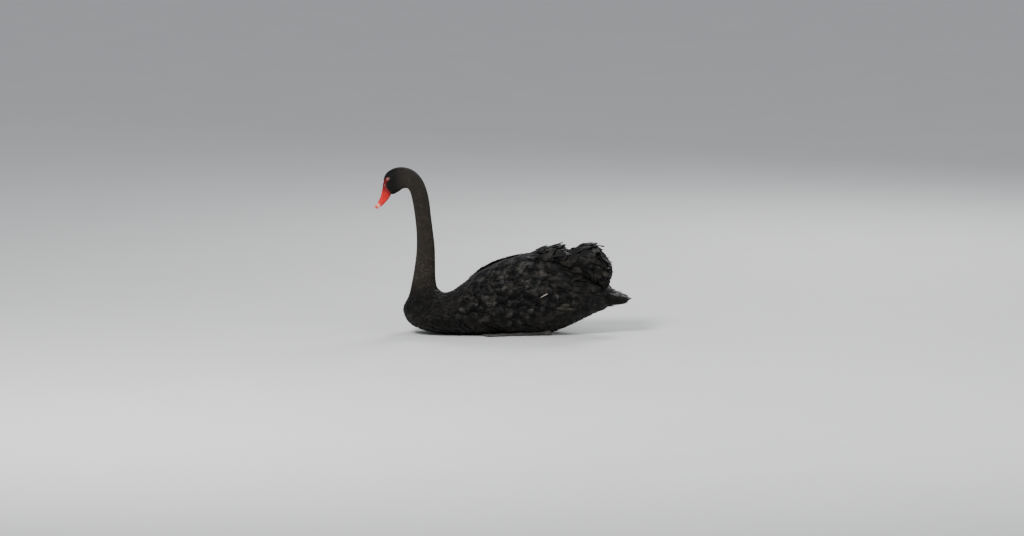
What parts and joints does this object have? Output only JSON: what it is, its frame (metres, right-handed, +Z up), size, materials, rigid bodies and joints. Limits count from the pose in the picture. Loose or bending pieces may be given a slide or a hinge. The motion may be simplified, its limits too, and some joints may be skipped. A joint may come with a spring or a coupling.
{
  "type": "black swan model",
  "caption": "Life-size still figure of a black swan resting on its belly, neck upright, wings folded, curled plumes over the rump.",
  "frame": {"origin": "middle of the flat under the belly, on the floor", "axes": "+Z up, +X towards the tail, the bird faces -X and its left side is -Y"},
  "size_m": [0.826, 0.2672, 0.535],
  "materials": {
    "neck_plumage": "soft matt velvet of short feathers",
    "body_plumage": "satin feathers with grey-brown edges",
    "bill": "smooth waxy gloss, pale bar and nail at the tip",
    "eyes": "wet gloss",
    "legs": "leathery scales"
  },
  "bodies": {
    "root": {"head": "neck_plumage", "neck_upper": "neck_plumage", "neck_middle": "neck_plumage", "neck_lower": "neck_plumage", "bill_upper": "bill", "bill_lower": "bill", "eye_left": "eyes", "eye_right": "eyes", "torso": "body_plumage", "wing_left": "body_plumage", "wing_right": "body_plumage", "tertials_left": "body_plumage", "tertials_right": "body_plumage", "tail": "body_plumage", "tarsus_left": "legs", "tarsus_right": "legs", "foot_left": "legs", "foot_right": "legs"}
  },
  "joints": []
}
